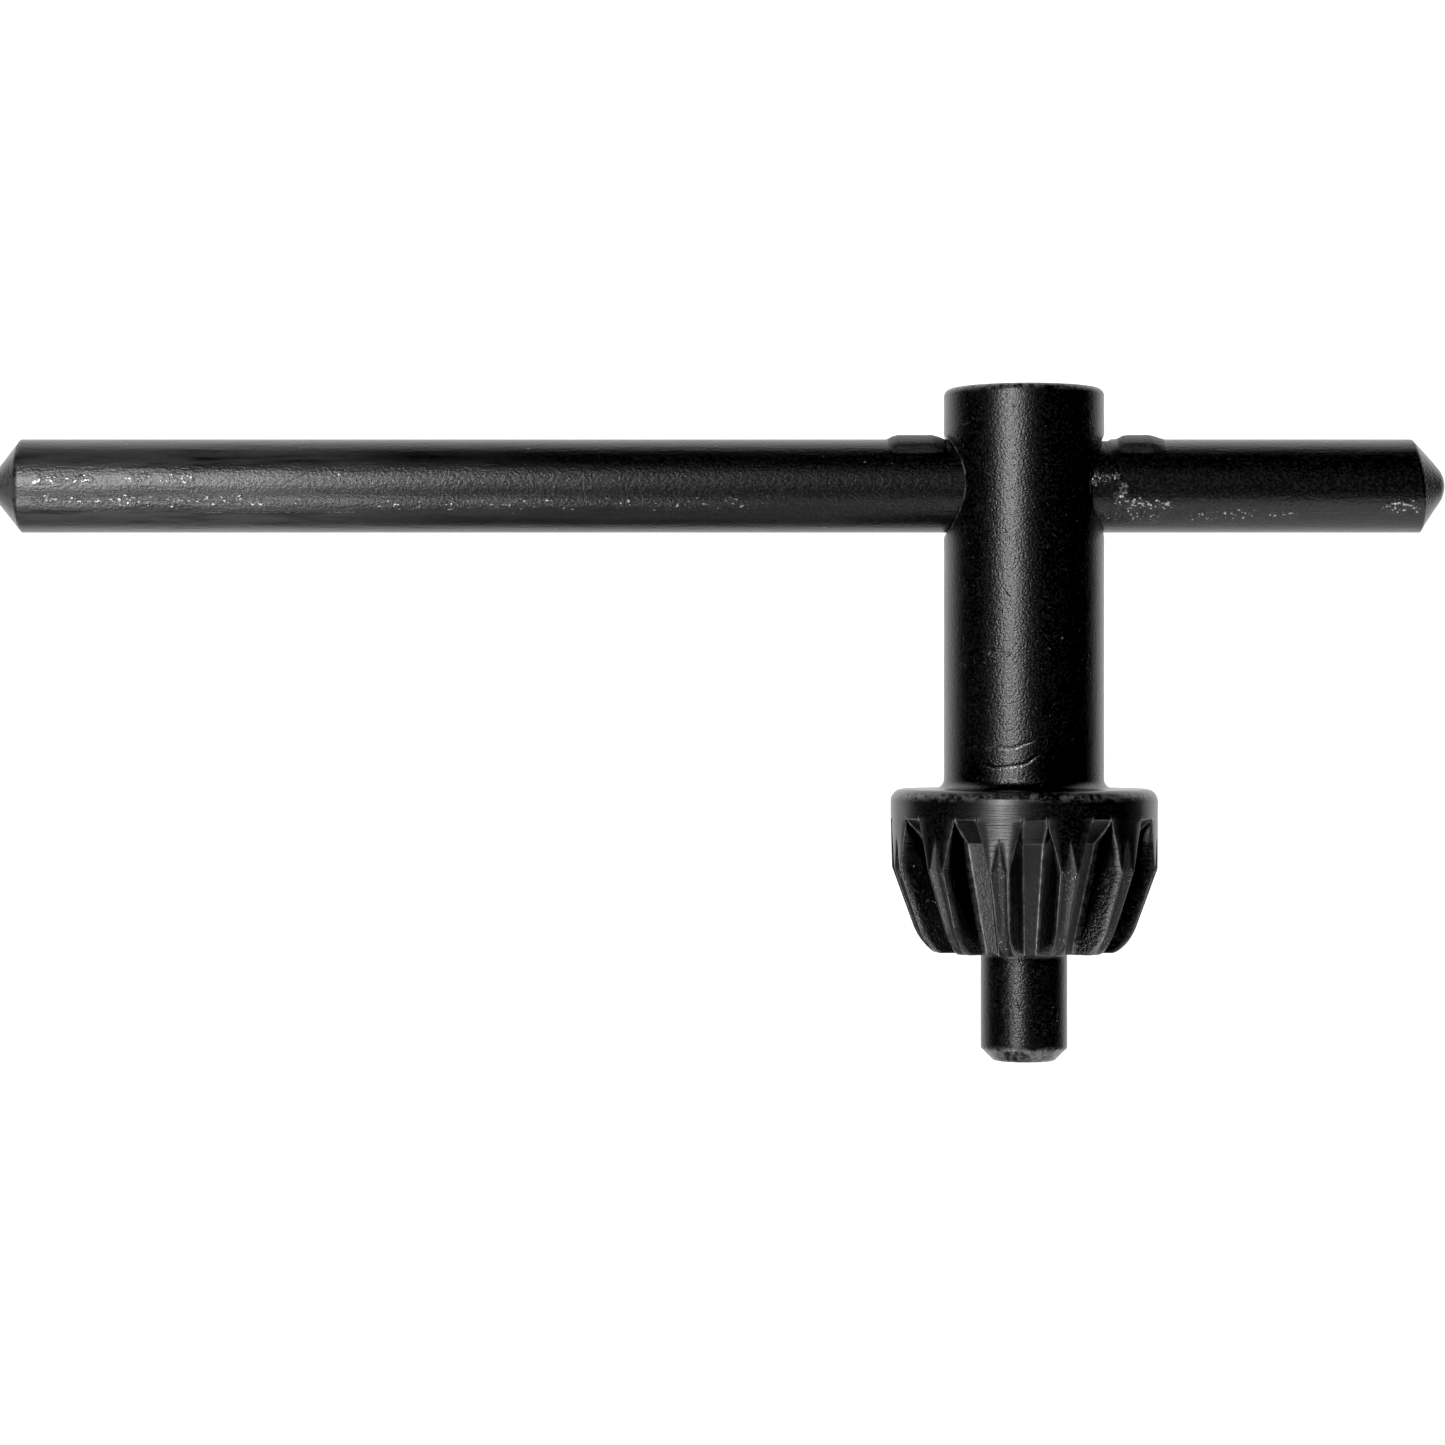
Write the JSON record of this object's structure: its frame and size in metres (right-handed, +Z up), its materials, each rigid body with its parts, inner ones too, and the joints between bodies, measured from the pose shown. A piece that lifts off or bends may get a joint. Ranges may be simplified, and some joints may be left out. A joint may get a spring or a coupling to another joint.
{
  "type": "drill chuck key",
  "caption": "Chuck key with a bevel pinion, a pilot pin and a round T-handle bar that turns in its cross hole.",
  "frame": {"origin": "centre of the pilot's flat end face", "axes": "+Z up the key's axis towards the handle, +X along the handle bar towards its short arm, long arm to -X"},
  "size_m": [0.1088, 0.02, 0.0503],
  "materials": {
    "key_body_steel": "black oxide over a fine blasted forging, satin",
    "handle_bar_steel": "black oxide over drawn bar, satin, worn and streaked along its length"
  },
  "bodies": {
    "key": {"key_body": "key_body_steel"},
    "handle": {"handle_bar": "handle_bar_steel"}
  },
  "joints": [
    {"name": "handle_spin", "type": "hinge", "parent": "key", "child": "handle", "pos_m": [0, 0, 0.04303], "axis": [1, 0, 0], "continuous": true}
  ]
}
